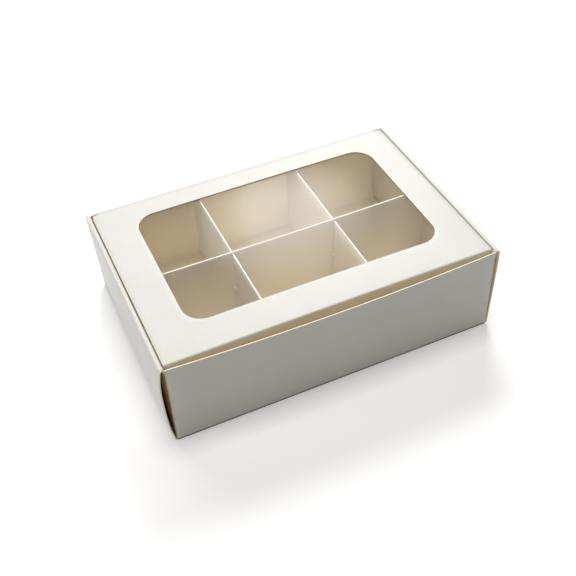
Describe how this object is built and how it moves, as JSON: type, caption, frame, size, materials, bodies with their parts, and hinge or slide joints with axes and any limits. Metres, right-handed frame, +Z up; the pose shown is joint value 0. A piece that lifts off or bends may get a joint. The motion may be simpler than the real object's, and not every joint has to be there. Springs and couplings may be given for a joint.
{
  "type": "bakery box",
  "caption": "Shallow white paperboard bakery box with roll-over side walls, a windowed tuck lid on a crease and a slotted insert that makes six cells.",
  "frame": {"origin": "middle of the base's underside, midway between the front wall's side folds and between the faces of the front and back walls", "axes": "+X to the right along the front wall, +Y from the front wall to the hinge wall, +Z up"},
  "size_m": [0.1758, 0.1215, 0.0505],
  "materials": {
    "tray_board": "matt white paperboard",
    "lid_board": "matt white paperboard",
    "divider_board": "matt white paperboard",
    "clear_film": "clear plastic film"
  },
  "bodies": {
    "tray": {"carton_tray": "tray_board", "long_divider": "divider_board", "cross_divider_left": "divider_board", "cross_divider_right": "divider_board"},
    "lid": {"lid": "lid_board", "window_film": "clear_film"}
  },
  "joints": [
    {"name": "lid_hinge", "type": "hinge", "parent": "tray", "child": "lid", "pos_m": [0, 0.05925, 0.0495], "axis": [-1, 0, 0], "range_deg": [0, 180]}
  ]
}
